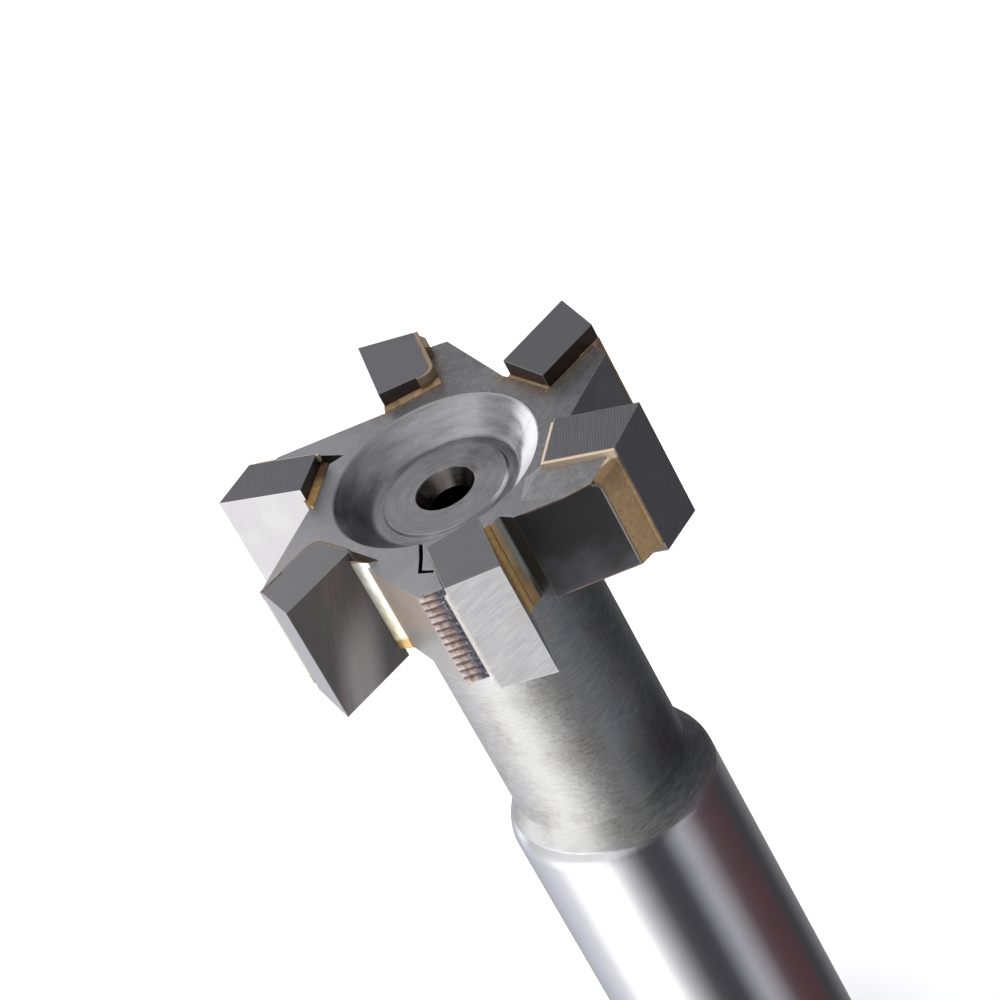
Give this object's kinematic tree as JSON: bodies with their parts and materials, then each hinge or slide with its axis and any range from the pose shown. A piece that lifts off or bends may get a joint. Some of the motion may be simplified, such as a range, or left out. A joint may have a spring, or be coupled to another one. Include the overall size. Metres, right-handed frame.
{
  "type": "t-slot cutter",
  "caption": "T-slot milling cutter: a wide toothed head with brazed carbide tips on a slender neck and a plain round shank.",
  "frame": {"origin": "centre of the shank's end face", "axes": "+Z along the tool's axis towards the cutting end, +Y close to the cutting corner of tip a"},
  "size_m": [0.0457, 0.05, 0.108],
  "materials": {
    "steel": "hardened tool steel, satin on head and neck, polished on the shank",
    "carbide": "ground tungsten carbide, dark grey satin",
    "braze": "copper coloured braze, partly dulled by heat"
  },
  "bodies": {
    "root": {"cutter_body": "steel", "carbide_tip_a": "carbide", "carbide_tip_b": "carbide", "carbide_tip_c": "carbide", "carbide_tip_d": "carbide", "carbide_tip_e": "carbide", "carbide_tip_f": "carbide", "braze_seam_a": "braze", "braze_seam_b": "braze", "braze_seam_c": "braze", "braze_seam_d": "braze", "braze_seam_e": "braze", "braze_seam_f": "braze"}
  },
  "joints": []
}
